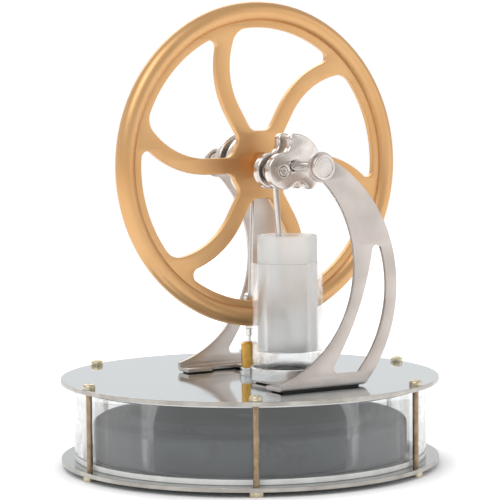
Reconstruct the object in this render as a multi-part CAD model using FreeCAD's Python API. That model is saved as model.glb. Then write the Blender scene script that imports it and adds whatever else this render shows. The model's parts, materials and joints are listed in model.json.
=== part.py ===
# Low-temperature Stirling engine on a round chamber, with a bronze flywheel.
# Millimetres, +Z up. The origin is the centre of the base, level with the
# underside of the six foot nuts. The axle runs along Y and the power
# cylinder stands on the -Y side of the displacer.
import FreeCAD, Part
import math
import os
from FreeCAD import Vector

os.makedirs("parts", exist_ok=True)

# driving dimensions
# chamber
plate_radius = 48.5
plate_thickness = 1.1
chamber_radius = 45.2
chamber_wall = 2.0
chamber_ring_height = 17.1
lower_gasket_thickness = 1.4
upper_gasket_thickness = 0.8
gasket_width = 3.2

# tie screws
tie_count = 6
tie_circle_radius = 46.45
tie_first_angle = 0.0
tie_rod_radius = 0.75
tie_head_radius = 1.6
tie_head_height = 1.3
tie_crown_fillet = 0.7
tie_recess_radius = 0.55
tie_recess_depth = 0.35
tie_nut_width = 3.2
tie_nut_height = 1.3
tie_rod_inset = 0.2

# axle and cranks
axle_height = 54.2            # above the top plate
crank_radius = 3.3
power_pin_angle = 202.6       # about the axle, seen from the front
phase_lead = 90.0
shaft_radius = 1.2
journal_radius = 1.0
pin_radius = 1.2
pin_chamfer = 0.24
web_thickness = 2.3
web_gap = 3.0
web_lobe_radius = 4.5
web_weight_radius = 8.0
web_weight_half_angle = 74.0
web_wedge_tip = 0.5           # the weight's straight sides meet here, beside the axle
web_waist_fillet = 2.4
web_corner_fillet = 1.5
web_edge_fillet = 0.55

# flywheel
wheel_radius = 41.0
bead_radius = 2.45
wheel_plane = -5.6
spider_thickness = 1.8
spider_seat = 0.9             # how far the spider lets into the bead
spider_ring_width = 1.6
spider_core_radius = 8.6
spoke_count = 6
spoke_width = 4.0
spoke_first_angle = 0.6
spoke_straight_length = 15.6
spoke_bend_radius = 22.0
void_hub_fillet = 2.6
void_tip_fillet = 1.8         # at the rim, on the convex side of a spoke
void_wide_fillet = 4.6        # at the rim, on the hollow side of a spoke
hub_radius = 3.0
hub_front_length = 4.4
hub_back_length = 0.2
grub_radius = 0.8
grub_socket_radius = 0.4
grub_set_back = 2.0           # from the hub's front face

# bracket
sheet = 1.0
bracket_gasket_thickness = 0.25
bracket_gasket_inset = 1.0
front_arm_face = -34.2
back_arm_face = 16.0
foot_left = -12.1
foot_right = 12.1
foot_end_height = 2.2
arm_head_radius = 3.7
arm_neck_angle = -81.3        # where the inner edge meets the head, about the axle
arm_brow_angle = 23.1         # where the outer edge meets the head
arm_crown_angle = 143.1
arm_inner_bulge = 9.4
arm_inner_height = 28.5
arm_outer_bulge = 21.9
arm_outer_height = 27.5
slot_foot_gap = 3.4           # above the bracket's underside
slot_top_gap = 15.5           # below the axle
slot_left = 1.7               # where the slot's lower end starts
slot_right_rim = 1.65         # metal left beside the slot at the foot
slot_bulge_drop = 6.5         # the slot's bulges sit lower than the arm's
slot_inner_rim = 2.3
slot_outer_rim = 3.3
slot_apex_offset = -0.3
slot_fillet = 1.4
front_tab_depth = 7.0
back_tab_depth = 5.5          # at the left end of the back arm's foot
back_neck_depth = 3.0         # from the step to the gland notch
back_step_from = -5.0
back_step_to = -3.0
waist_inset = 2.4             # how far the left edge runs in under the collar
waist_front = 6.6             # from the cylinder's axis to the front end of the waist
waist_back = 5.6
gland_notch_radius = 8.9
gland_notch_right = 3.6
bend_fillet = 0.8

# bearings and their housings
housing_radius = 3.2
housing_stand_out = 1.0       # in front of the arm
housing_inner_lip = 0.9       # behind the arm
housing_barrel_radius = 2.85
housing_bore = 2.5
bearing_width = 1.7
bearing_outer_wall = 0.4
bearing_inner_wall = 0.45
ball_count = 8
ball_play = 0.03
cap_radius = 2.35
cap_thickness = 0.35

# power cylinder and piston
cylinder_plane = -18.2
tube_radius = 8.8
piston_radius = 7.45
piston_play = 0.03
piston_wall = 0.8
piston_floor = 0.8
piston_length = 28.8
piston_bottom = 8.2           # above the top plate, at rest
tube_top = 30.2               # above the top plate
collar_radius = 9.4
collar_height = 3.0
collar_recess = 0.9
collar_spigot_radius = 5.5
collar_bore = 3.5
seal_thickness = 0.6

# connecting rod and piston lug
gudgeon_height = 17.4         # above the top plate, at rest
conrod_foot_offset = -1.0
conrod_thickness = 0.9
conrod_width = 1.3
big_end_radius = 2.3
bush_wall = 0.5
small_end_radius = 0.9
lug_thickness = 1.0
lug_width = 2.4
lug_foot_radius = 3.0
lug_foot_thickness = 0.6
lap_gap = 0.15
rivet_head_height = 0.4
rivet_head_radius = 0.75
rivet_radius = 0.5

# displacer
displacer_radius = 40.3
displacer_height = 9.5
displacer_edge_fillet = 1.3
land_radius = 31.5
land_height = 1.9
land_bevel = 1.2
displacer_floor_gap = 0.6     # over the lower plate, at rest
rod_radius = 0.6
rod_foot_radius = 2.2
rod_foot_thickness = 0.5
crosshead_radius = 1.0
crosshead_bottom = 10.3       # above the top plate, at rest
crosshead_solid_height = 1.6
crosshead_pivot = 20.1        # above the top plate, at rest
link_thickness = 0.6
link_width = 0.9
link_eye_radius = 1.1

# gland
gland_base_radius = 2.6
gland_base_height = 2.0
gland_step = 0.25
gland_bush_radius = 2.1
gland_bush_height = 6.6
gland_chamfer = 0.4

# fits
running_fit = 0.05            # radial, rotating or sliding
hole_clearance = 0.1          # radial, fixed screws and spigots
side_clearance = 0.1          # between faces that pass each other

# heights and places that follow
lower_plate_bottom = tie_nut_height
floor_top = lower_plate_bottom + plate_thickness
ring_bottom = floor_top + lower_gasket_thickness
ring_top = ring_bottom + chamber_ring_height
upper_plate_bottom = ring_top + upper_gasket_thickness
deck = upper_plate_bottom + plate_thickness
axle = deck + axle_height
bracket_bottom = deck + bracket_gasket_thickness
bracket_top = bracket_bottom + sheet
gap_half = web_gap / 2
displacer_pin_angle = power_pin_angle + phase_lead
wheel_centre_radius = wheel_radius - bead_radius
spider_radius = wheel_centre_radius - bead_radius + spider_seat
void_outer_radius = spider_radius - spider_seat - spider_ring_width
tube_bore = piston_radius + piston_play


def crank_point(angle):
    """Place of a crank pin in the XZ plane."""
    a = math.radians(angle)
    return crank_radius * math.cos(a), axle + crank_radius * math.sin(a)


power_pin_x, power_pin_z = crank_point(power_pin_angle)
displacer_pin_x, displacer_pin_z = crank_point(displacer_pin_angle)


def disc(x, y, z, radius, height):
    """Upright cylinder."""
    return Part.makeCylinder(radius, height, Vector(x, y, z))


def tube(x, y, z, outer, inner, height):
    """Upright tube."""
    return disc(x, y, z, outer, height).cut(disc(x, y, z, inner, height))


def bar(x, z, radius, y_from, y_to):
    """Cylinder along Y."""
    return Part.makeCylinder(radius, y_to - y_from, Vector(x, y_from, z), Vector(0, 1, 0))


def sleeve(x, z, outer, inner, y_from, y_to):
    """Tube along Y."""
    return bar(x, z, outer, y_from, y_to).cut(bar(x, z, inner, y_from, y_to))


def block(x_from, x_to, y_from, y_to, z_from, z_to):
    """Box between two corners."""
    return Part.makeBox(x_to - x_from, y_to - y_from, z_to - z_from, Vector(x_from, y_from, z_from))


def arc(start, middle, end):
    """Edge through three points."""
    return Part.Arc(start, middle, end).toShape()


def line(start, end):
    """Straight edge."""
    return Part.makeLine(start, end)


def plate_from(edges, y_from, y_to):
    """Solid between two Y planes, from a closed outline drawn at Y = 0."""
    face = Part.Face(Part.Wire(Part.__sortEdges__(edges)))
    face.translate(Vector(0, y_from, 0))
    return face.extrude(Vector(0, y_to - y_from, 0))


def along_y(solid):
    """Straight edges of a solid that run along Y."""
    found = []
    for edge in solid.Edges:
        direction = edge.Vertexes[-1].Point - edge.Vertexes[0].Point
        if direction.Length > 0 and abs(direction.y) > 0.999 * direction.Length:
            if isinstance(edge.Curve, (Part.Line, Part.LineSegment)):
                found.append(edge)
    return found


def save(name, shape):
    """Write one node."""
    shape.exportStep("parts/%s.step" % name)


# chamber
def tie_places():
    step = 360.0 / tie_count
    for k in range(tie_count):
        a = math.radians(tie_first_angle + k * step)
        yield tie_circle_radius * math.cos(a), tie_circle_radius * math.sin(a)


def chamber_plate(z):
    plate = disc(0, 0, z, plate_radius, plate_thickness)
    for x, y in tie_places():
        plate = plate.cut(disc(x, y, z, tie_rod_radius + hole_clearance, plate_thickness))
    return plate


def base_plate():
    return chamber_plate(lower_plate_bottom)


def top_plate():
    plate = chamber_plate(upper_plate_bottom)
    spigot = collar_spigot_radius + hole_clearance
    plate = plate.cut(disc(0, cylinder_plane, upper_plate_bottom, spigot, plate_thickness))
    return plate.cut(disc(0, 0, upper_plate_bottom, rod_radius + 2 * hole_clearance, plate_thickness))


def chamber_ring():
    inner = chamber_radius - chamber_wall
    return tube(0, 0, ring_bottom, chamber_radius, inner, chamber_ring_height)


def gasket(z, thickness):
    return tube(0, 0, z, chamber_radius, chamber_radius - gasket_width, thickness)


def tie_screw(x, y):
    rod = disc(x, y, tie_rod_inset, tie_rod_radius, deck - tie_rod_inset)
    head = disc(x, y, deck, tie_head_radius, tie_head_height)
    crown = [edge for edge in head.Edges if edge.BoundBox.ZMin > deck + tie_head_height / 2]
    head = head.makeFillet(tie_crown_fillet, crown[:1])
    recess_z = deck + tie_head_height - tie_recess_depth
    head = head.cut(disc(x, y, recess_z, tie_recess_radius, tie_recess_depth))
    return rod.fuse(head).removeSplitter()


def tie_screws():
    return Part.makeCompound([tie_screw(x, y) for x, y in tie_places()])


def tie_nut(x, y):
    corner = tie_nut_width / math.sqrt(3)
    points = []
    for k in range(7):
        a = math.radians(60 * k)
        points.append(Vector(x + corner * math.cos(a), y + corner * math.sin(a), 0))
    nut = Part.Face(Part.makePolygon(points)).extrude(Vector(0, 0, tie_nut_height))
    foot_radius = tie_nut_width / 2
    bevel = Part.makeCone(foot_radius, 2 * foot_radius, foot_radius, Vector(x, y, 0))
    upper = disc(x, y, foot_radius, 2 * foot_radius, tie_nut_height)
    return nut.common(bevel.fuse(upper))


def tie_nuts():
    nuts = []
    for x, y in tie_places():
        nuts.append(tie_nut(x, y).cut(disc(x, y, 0, tie_rod_radius + running_fit, tie_nut_height)))
    return Part.makeCompound(nuts)


# gland
def gland_base():
    lower = disc(0, 0, deck, gland_base_radius, gland_base_height / 2)
    upper = disc(0, 0, deck, gland_base_radius - gland_step, gland_base_height)
    return lower.fuse(upper).cut(disc(0, 0, deck, rod_radius + 2 * hole_clearance, gland_base_height))


def gland_bush():
    bottom = deck + gland_base_height
    bush = disc(0, 0, bottom, gland_bush_radius, gland_bush_height)
    top = bottom + gland_bush_height
    crown = [edge for edge in bush.Edges if edge.BoundBox.ZMin > top - gland_chamfer]
    bush = bush.makeChamfer(gland_chamfer, crown[:1])
    return bush.cut(disc(0, 0, bottom, rod_radius + running_fit, gland_bush_height))


# bracket
def head_point(angle):
    """Point on the round head of an arm."""
    a = math.radians(angle)
    return Vector(arm_head_radius * math.cos(a), 0, axle + arm_head_radius * math.sin(a))


def arm_outline():
    """Crescent of an arm, from the foot to the head round the axle."""
    foot_z = bracket_bottom
    toe = Vector(foot_left, 0, foot_z + foot_end_height)
    neck, brow, crown = [head_point(a) for a in (arm_neck_angle, arm_brow_angle, arm_crown_angle)]
    heel = Vector(foot_right, 0, foot_z)
    inner = Vector(arm_inner_bulge, 0, deck + arm_inner_height)
    outer = Vector(arm_outer_bulge, 0, deck + arm_outer_height)
    return [line(Vector(foot_left, 0, foot_z), toe), arc(toe, inner, neck), arc(neck, crown, brow),
            arc(brow, outer, heel), line(heel, Vector(foot_left, 0, foot_z))]


def arm_slot():
    """Crescent slot that leaves an even rim along both edges of an arm."""
    low = bracket_bottom + slot_foot_gap
    left = Vector(slot_left, 0, low)
    right = Vector(foot_right - slot_right_rim, 0, low)
    apex = Vector((arm_inner_bulge + arm_outer_bulge) / 2 + slot_apex_offset, 0, axle - slot_top_gap)
    inner = Vector(arm_inner_bulge + slot_inner_rim, 0, deck + arm_inner_height - slot_bulge_drop)
    outer = Vector(arm_outer_bulge - slot_outer_rim, 0, deck + arm_outer_height - slot_bulge_drop)
    edges = [arc(left, inner, apex), arc(apex, outer, right), line(right, left)]
    slot = plate_from(edges, -1.0, 1.0)
    return slot.makeFillet(slot_fillet, along_y(slot))


def arm(y_face, y_back):
    """One arm between two Y planes, with its slot and the hole for the bearing housing."""
    low, high = sorted((y_face, y_back))
    solid = plate_from(arm_outline(), low, high)
    slot = arm_slot()
    slot.translate(Vector(0, (low + high) / 2, 0))
    solid = solid.cut(slot)
    return solid.cut(bar(0, axle, housing_barrel_radius + hole_clearance / 2, low, high))


def base_sheet(z, thickness, inset):
    """Foot sheet between the arms, cut away on the left for the gland."""
    front = front_arm_face + inset
    back = back_arm_face - inset
    left = foot_left + inset
    right = foot_right - inset
    waist = -collar_radius + waist_inset + inset
    front_tab = front_arm_face + front_tab_depth - inset
    back_tab = back_arm_face - back_tab_depth + inset
    back_neck = back_arm_face - back_neck_depth + inset / 2
    notch_right = gland_notch_right + inset
    corners = [(right, front), (right, back), (left, back), (left, back_tab), (back_step_from, back_tab),
               (back_step_to, back_neck), (notch_right, back_neck),
               (notch_right, cylinder_plane + collar_radius), (waist, cylinder_plane + waist_back),
               (waist, cylinder_plane - waist_front), (waist - waist_inset, front_tab), (left, front_tab),
               (left, front)]
    points = [Vector(x, y, z) for x, y in corners]
    face = Part.Face(Part.makePolygon(points + points[:1]))
    solid = face.extrude(Vector(0, 0, thickness))
    notch = disc(0, 0, z, gland_notch_radius + inset, thickness)
    reach = 2 * gland_notch_radius
    solid = solid.cut(notch.common(block(-reach, notch_right, -reach, reach, z, z + thickness)))
    spigot = collar_spigot_radius + hole_clearance
    return solid.cut(disc(0, cylinder_plane, z, spigot, thickness))


def bracket():
    base = base_sheet(bracket_bottom, sheet, 0.0)
    front = arm(front_arm_face, front_arm_face + sheet)
    back = arm(back_arm_face - sheet, back_arm_face)
    solid = base.fuse([front, back]).removeSplitter()
    bends = []
    for edge in solid.Edges:
        box = edge.BoundBox
        flat = box.ZLength < 0.01 and box.YLength < 0.01 and abs(box.ZMin - bracket_bottom) < 0.01
        if flat and (abs(box.YMin - front_arm_face) < 0.01 or abs(box.YMin - back_arm_face) < 0.01):
            bends.append(edge)
    return solid.makeFillet(bend_fillet, bends)


def bracket_gasket():
    return base_sheet(deck, bracket_gasket_thickness, bracket_gasket_inset)


# bearings
def bearing_span(face, inward):
    """Y planes of a bearing that is level with the outer end of its housing."""
    outer = face - inward * (housing_stand_out - cap_thickness)
    return sorted((outer, outer + inward * bearing_width))


def bearing_housing(face, inward):
    rim = face - inward * housing_stand_out
    inner_end = face + inward * (sheet + housing_inner_lip)
    front = bar(0, axle, housing_radius, *sorted((rim, face)))
    barrel = bar(0, axle, housing_barrel_radius, *sorted((rim, inner_end)))
    body = front.fuse(barrel).removeSplitter()
    low, high = bearing_span(face, inward)
    seat = bar(0, axle, housing_bore, *sorted((rim, high if inward > 0 else low)))
    passage = bar(0, axle, shaft_radius + 4 * running_fit, *sorted((rim, inner_end)))
    return body.cut(seat).cut(passage)


def bearing_rings(face, inward):
    low, high = bearing_span(face, inward)
    outer = sleeve(0, axle, housing_bore, housing_bore - bearing_outer_wall, low, high)
    inner = sleeve(0, axle, journal_radius + bearing_inner_wall, journal_radius, low, high)
    return outer, inner


def bearing_balls(face, inward):
    low, high = bearing_span(face, inward)
    track_outer = housing_bore - bearing_outer_wall
    track_inner = journal_radius + bearing_inner_wall
    pitch = (track_outer + track_inner) / 2
    radius = (track_outer - track_inner) / 2 - ball_play
    balls = []
    for k in range(ball_count):
        a = 2 * math.pi * k / ball_count
        centre = Vector(pitch * math.cos(a), (low + high) / 2, axle + pitch * math.sin(a))
        balls.append(Part.makeSphere(radius, centre))
    return Part.makeCompound(balls)


def bearing_cap(face, inward):
    rim = face - inward * housing_stand_out
    return bar(0, axle, cap_radius, *sorted((rim, rim + inward * cap_thickness)))


# power cylinder
def cylinder_collar():
    body = disc(0, cylinder_plane, bracket_top, collar_radius, collar_height)
    top = bracket_top + collar_height
    foot = upper_plate_bottom
    seat = disc(0, cylinder_plane, top - collar_recess, tube_radius + running_fit, collar_recess)
    spigot = disc(0, cylinder_plane, foot, collar_spigot_radius, bracket_top - foot)
    bore = disc(0, cylinder_plane, foot, collar_bore, top - foot)
    return body.cut(seat).fuse(spigot).removeSplitter().cut(bore)


def cylinder_seal():
    bottom = bracket_top + collar_height - collar_recess
    return tube(0, cylinder_plane, bottom, tube_radius, collar_bore, seal_thickness)


def power_cylinder():
    bottom = bracket_top + collar_height - collar_recess + seal_thickness
    return tube(0, cylinder_plane, bottom, tube_radius, tube_bore, deck + tube_top - bottom)


def power_piston():
    bottom = deck + piston_bottom
    body = disc(0, cylinder_plane, bottom, piston_radius, piston_length)
    hollow = disc(0, cylinder_plane, bottom + piston_floor, piston_radius - piston_wall, piston_length)
    return body.cut(hollow)


def piston_lug():
    floor = deck + piston_bottom + piston_floor
    pivot = deck + gudgeon_height
    back = cylinder_plane - lap_gap / 2
    front = back - lug_thickness
    half = lug_width / 2
    foot = disc(0, (front + back) / 2, floor, lug_foot_radius, lug_foot_thickness)
    post = block(-half, half, front, back, floor, pivot)
    return foot.fuse([post, bar(0, pivot, half, front, back)]).removeSplitter()


# cranks
def crank_web(pin_angle, y_from):
    """Web with a lobe round the pin and a sector weight opposite it."""
    lobe = bar(crank_radius, 0, web_lobe_radius, 0, web_thickness)
    weight = bar(0, 0, web_weight_radius, 0, web_thickness)
    reach = 3 * web_weight_radius
    half = math.radians(web_weight_half_angle)
    left = Vector(-reach * math.cos(half), 0, reach * math.sin(half))
    right = Vector(-reach * math.cos(half), 0, -reach * math.sin(half))
    tip = Vector(web_wedge_tip, 0, 0)
    far = Vector(-reach, 0, 0)
    sides = [line(tip, left), line(left, far), line(far, right), line(right, tip)]
    wedge = plate_from(sides, 0, web_thickness)
    sector = weight.common(wedge)
    corners = []
    for edge in along_y(sector):
        place = edge.Vertexes[0].Point
        if abs(place.z) > web_weight_radius / 2:
            corners.append(edge)
    sector = sector.makeFillet(web_corner_fillet, corners)
    web = lobe.fuse(sector).removeSplitter()
    waists = []
    for edge in along_y(web):
        place = edge.Vertexes[0].Point
        on_lobe = abs(math.hypot(place.x - crank_radius, place.z) - web_lobe_radius) < 0.01
        if on_lobe and abs(place.z) > 1.0:
            waists.append(edge)
    web = web.makeFillet(web_waist_fillet, waists)
    rims = [edge for edge in web.Edges if edge.BoundBox.YLength < 0.01]
    web = web.makeFillet(web_edge_fillet, rims)
    web = web.cut(bar(0, 0, shaft_radius, 0, web_thickness))
    web = web.cut(bar(crank_radius, 0, pin_radius, 0, web_thickness))
    web.rotate(Vector(0, 0, 0), Vector(0, -1, 0), pin_angle)
    web.translate(Vector(0, y_from, axle))
    return web


def crank_pin(x, z, y_centre):
    reach = gap_half + web_thickness
    pin = bar(x, z, pin_radius, y_centre - reach, y_centre + reach)
    return pin.makeChamfer(pin_chamfer, [edge for edge in pin.Edges if edge.BoundBox.YLength < 0.01])


def front_shaft():
    bearing_low, bearing_high = bearing_span(front_arm_face, 1)
    journal = bar(0, axle, journal_radius, bearing_low + side_clearance, bearing_high + side_clearance)
    body = bar(0, axle, shaft_radius, bearing_high + side_clearance, cylinder_plane - gap_half)
    return journal.fuse(body).removeSplitter()


def main_shaft():
    return bar(0, axle, shaft_radius, cylinder_plane + gap_half, -gap_half)


def back_shaft():
    bearing_low, bearing_high = bearing_span(back_arm_face, -1)
    body = bar(0, axle, shaft_radius, gap_half, bearing_low - side_clearance)
    journal = bar(0, axle, journal_radius, bearing_low - side_clearance, bearing_high - side_clearance)
    return journal.fuse(body).removeSplitter()


# flywheel
def flywheel_rim():
    bead = Part.makeTorus(wheel_centre_radius, bead_radius, Vector(0, wheel_plane, axle), Vector(0, 1, 0))
    half = spider_thickness / 2
    return bead.cut(bar(0, axle, spider_radius, wheel_plane - half, wheel_plane + half))


def spoke(y_from, y_to):
    """Spoke along +X: straight out of the hub, then bent clockwise to the rim."""
    half = spoke_width / 2
    start = spoke_straight_length
    stem = block(0, start, y_from, y_to, -half, half)
    bend = sleeve(start, -spoke_bend_radius, spoke_bend_radius + half, spoke_bend_radius - half, y_from, y_to)
    reach = 2 * wheel_radius
    quarter = block(start, start + reach, y_from, y_to, -spoke_bend_radius, reach)
    return stem.fuse(bend.common(quarter))


def rounded_void(void):
    """Opening between two spokes, with its four corners rounded."""
    centre = void.CenterOfMass
    middle = math.atan2(centre.z, centre.x)

    def corners(at_rim, side):
        """Edges of the opening at the hub, or at the rim on one side of its middle."""
        found = []
        for edge in along_y(void):
            place = edge.Vertexes[0].Point
            rim = math.hypot(place.x, place.z) > void_outer_radius - 0.01
            turn = math.sin(math.atan2(place.z, place.x) - middle)
            inner = math.hypot(place.x, place.z) < spider_core_radius + 0.01
            if (at_rim and rim and turn * side > 0) or (not at_rim and inner):
                found.append(edge)
        return found

    void = void.makeFillet(void_hub_fillet, corners(False, 0))
    void = void.makeFillet(void_tip_fillet, corners(True, -1))
    return void.makeFillet(void_wide_fillet, corners(True, 1))


def flywheel_spider():
    half = spider_thickness / 2
    y_from, y_to = wheel_plane - half, wheel_plane + half
    field = sleeve(0, 0, void_outer_radius, spider_core_radius, y_from, y_to)
    step = 360.0 / spoke_count
    for k in range(spoke_count):
        arm_solid = spoke(y_from, y_to)
        arm_solid.rotate(Vector(0, 0, 0), Vector(0, -1, 0), spoke_first_angle + k * step)
        field = field.cut(arm_solid)
    spider = bar(0, 0, spider_radius, y_from, y_to)
    for void in field.Solids:
        spider = spider.cut(rounded_void(void))
    spider = spider.cut(bar(0, 0, hub_radius, y_from, y_to))
    spider.translate(Vector(0, 0, axle))
    return spider


def flywheel_hub():
    half = spider_thickness / 2
    front = wheel_plane - half
    body = bar(0, axle, hub_radius, front - hub_front_length, wheel_plane + half + hub_back_length)
    reach = 2 * hub_front_length
    body = body.cut(bar(0, axle, shaft_radius, front - reach, wheel_plane + reach))
    grub_y = front - hub_front_length + grub_set_back
    hole = Part.makeCylinder(grub_radius, hub_radius * 2, Vector(0, grub_y, axle))
    return body.cut(hole)


def hub_grub_screw():
    grub_y = wheel_plane - spider_thickness / 2 - hub_front_length + grub_set_back
    length = hub_radius - shaft_radius - 2 * side_clearance
    screw = Part.makeCylinder(grub_radius, length, Vector(0, grub_y, axle + shaft_radius + side_clearance))
    top = axle + shaft_radius + side_clearance + length
    socket = Part.makeCylinder(grub_socket_radius, grub_radius, Vector(0, grub_y, top - grub_radius))
    return screw.cut(socket)


# rods
def eye_rod(top, bottom, top_eye, top_bore, bottom_eye, bottom_bore, width, y_from, y_to):
    """Flat rod between two eyes in the XZ plane."""
    direction = (bottom - top).normalize()
    side = Vector(-direction.z, 0, direction.x) * (width / 2)
    corners = [top + side, bottom + side, bottom - side, top - side]
    edges = [line(corners[k], corners[(k + 1) % 4]) for k in range(4)]
    upper = bar(top.x, top.z, top_eye, y_from, y_to)
    lower = bar(bottom.x, bottom.z, bottom_eye, y_from, y_to)
    solid = plate_from(edges, y_from, y_to).fuse([upper, lower])
    solid = solid.removeSplitter().cut(bar(top.x, top.z, top_bore, y_from, y_to))
    return solid.cut(bar(bottom.x, bottom.z, bottom_bore, y_from, y_to))


def big_end_bush(x, z, y_centre):
    reach = gap_half - side_clearance
    bore = pin_radius + running_fit
    return sleeve(x, z, bore + bush_wall, bore, y_centre - reach, y_centre + reach)


def end_rivet(x, z, y_from, y_to, side):
    """Rivet through one eye. Its head stands on the side away from the lap."""
    shank = bar(x, z, rivet_radius, y_from, y_to)
    seat = y_to if side > 0 else y_from
    head = bar(x, z, rivet_head_radius, *sorted((seat, seat + side * rivet_head_height)))
    return shank.fuse(head).removeSplitter()


conrod_front = cylinder_plane + lap_gap / 2
conrod_back = conrod_front + conrod_thickness
link_back = -lap_gap / 2
link_front = link_back - link_thickness
bush_outer = pin_radius + running_fit + bush_wall


def power_conrod():
    top = Vector(power_pin_x, 0, power_pin_z)
    foot = Vector(conrod_foot_offset, 0, deck + gudgeon_height)
    return eye_rod(top, foot, big_end_radius, bush_outer, small_end_radius, rivet_radius,
                   conrod_width, conrod_front, conrod_back)


def displacer_link():
    top = Vector(displacer_pin_x, 0, displacer_pin_z)
    foot = Vector(0, 0, deck + crosshead_pivot)
    return eye_rod(top, foot, big_end_radius, bush_outer, link_eye_radius, rivet_radius,
                   link_width, link_front, link_back)


# displacer
def displacer_disc():
    bottom = floor_top + displacer_floor_gap
    body = disc(0, 0, bottom, displacer_radius, displacer_height)
    rims = [edge for edge in body.Edges if edge.BoundBox.ZLength < 0.01]
    body = body.makeFillet(displacer_edge_fillet, rims)
    top = bottom + displacer_height
    land = Part.makeCone(land_radius + land_bevel, land_radius, land_height, Vector(0, 0, top))
    body = body.fuse(land)
    return body.cut(disc(0, 0, bottom, rod_radius + running_fit, displacer_height + land_height))


def displacer_rod():
    bottom = floor_top + displacer_floor_gap + displacer_edge_fillet
    return disc(0, 0, bottom, rod_radius, deck + crosshead_bottom - bottom)


def rod_washer():
    top = floor_top + displacer_floor_gap + displacer_height + land_height
    return tube(0, 0, top, rod_foot_radius, rod_radius, rod_foot_thickness)


def rod_crosshead():
    bottom = deck + crosshead_bottom
    pivot = deck + crosshead_pivot
    body = disc(0, 0, bottom, crosshead_radius, pivot - bottom)
    body = body.fuse(bar(0, pivot, crosshead_radius, -crosshead_radius, crosshead_radius))
    solid_top = bottom + crosshead_solid_height
    reach = 3 * crosshead_radius
    flat = block(-reach, reach, -reach, lap_gap / 2, solid_top, pivot + reach)
    back = block(-reach, reach, crosshead_radius, reach, bottom, pivot + reach)
    return body.removeSplitter().cut(flat).cut(back)


save("base_plate", base_plate())
save("top_plate", top_plate())
save("chamber_ring", chamber_ring())
save("lower_gasket", gasket(floor_top, lower_gasket_thickness))
save("upper_gasket", gasket(ring_top, upper_gasket_thickness))
save("tie_screws", tie_screws())
save("tie_nuts", tie_nuts())
save("gland_base", gland_base())
save("gland_bush", gland_bush())
save("bracket", bracket())
save("bracket_gasket", bracket_gasket())
save("cylinder_collar", cylinder_collar())
save("cylinder_seal", cylinder_seal())
save("power_cylinder", power_cylinder())
for side, arm_face, inward in (("front", front_arm_face, 1), ("back", back_arm_face, -1)):
    outer_ring, inner_ring = bearing_rings(arm_face, inward)
    save("%s_bearing_housing" % side, bearing_housing(arm_face, inward))
    save("%s_bearing_outer_ring" % side, outer_ring)
    save("%s_bearing_inner_ring" % side, inner_ring)
    save("%s_bearing_balls" % side, bearing_balls(arm_face, inward))
    save("%s_bearing_cap" % side, bearing_cap(arm_face, inward))
save("flywheel_rim", flywheel_rim())
save("flywheel_spider", flywheel_spider())
save("flywheel_hub", flywheel_hub())
save("hub_grub_screw", hub_grub_screw())
save("front_shaft", front_shaft())
save("main_shaft", main_shaft())
save("back_shaft", back_shaft())
cranks = (("power", power_pin_angle, cylinder_plane), ("displacer", displacer_pin_angle, 0.0))
for crank, angle, centre in cranks:
    pin_x, pin_z = crank_point(angle)
    save("%s_front_web" % crank, crank_web(angle, centre - gap_half - web_thickness))
    save("%s_back_web" % crank, crank_web(angle, centre + gap_half))
    save("%s_crank_pin" % crank, crank_pin(pin_x, pin_z, centre))
    save("%s_big_end_bush" % crank, big_end_bush(pin_x, pin_z, centre))
save("power_conrod", power_conrod())
save("conrod_rivet", end_rivet(conrod_foot_offset, deck + gudgeon_height, conrod_front, conrod_back, 1))
save("power_piston", power_piston())
save("piston_lug", piston_lug())
save("displacer_link", displacer_link())
save("link_rivet", end_rivet(0, deck + crosshead_pivot, link_front, link_back, -1))
save("displacer_disc", displacer_disc())
save("displacer_rod", displacer_rod())
save("rod_washer", rod_washer())
save("rod_crosshead", rod_crosshead())
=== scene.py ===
import bmesh
import bpy
import json
import math
from mathutils import Matrix, Vector

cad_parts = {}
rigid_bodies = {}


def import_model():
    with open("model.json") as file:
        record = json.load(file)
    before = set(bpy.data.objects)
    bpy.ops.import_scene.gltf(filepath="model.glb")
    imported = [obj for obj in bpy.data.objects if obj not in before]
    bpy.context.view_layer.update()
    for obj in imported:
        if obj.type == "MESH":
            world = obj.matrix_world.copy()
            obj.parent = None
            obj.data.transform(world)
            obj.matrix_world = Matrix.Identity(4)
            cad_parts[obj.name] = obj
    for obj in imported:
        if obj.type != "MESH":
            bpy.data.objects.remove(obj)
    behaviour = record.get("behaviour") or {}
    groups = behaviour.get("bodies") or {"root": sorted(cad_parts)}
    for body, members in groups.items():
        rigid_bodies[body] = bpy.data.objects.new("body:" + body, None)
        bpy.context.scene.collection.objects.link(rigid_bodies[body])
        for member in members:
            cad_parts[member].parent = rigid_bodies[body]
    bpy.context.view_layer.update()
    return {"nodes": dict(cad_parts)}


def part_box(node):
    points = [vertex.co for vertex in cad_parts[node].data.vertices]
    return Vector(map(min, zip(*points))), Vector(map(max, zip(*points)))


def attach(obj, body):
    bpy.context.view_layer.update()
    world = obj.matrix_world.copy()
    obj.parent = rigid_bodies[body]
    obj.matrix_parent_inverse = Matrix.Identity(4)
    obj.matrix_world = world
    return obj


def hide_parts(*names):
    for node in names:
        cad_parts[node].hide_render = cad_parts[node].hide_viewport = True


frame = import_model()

mm = 0.001


# places read from the frame, in millimetres
def low(node):
    return Vector(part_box(node)[0]) / mm


def high(node):
    return Vector(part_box(node)[1]) / mm


def heights(node):
    return low(node).z, high(node).z


def middle(node):
    return (low(node) + high(node)) / 2


deckZ = high("top_plate").z
axleZ = middle("flywheel_rim").z
cylinderY = middle("power_cylinder").y
origin = (0, 0, 0)
print("frame loaded: deck at", round(deckZ, 2), "mm, axle at", round(axleZ, 2), "mm")


# small tools for flat outlines
def onCircle(centre, radius, degrees):
    a = math.radians(degrees)
    return Vector((centre[0] + radius * math.cos(a), centre[1] + radius * math.sin(a)))


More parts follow.
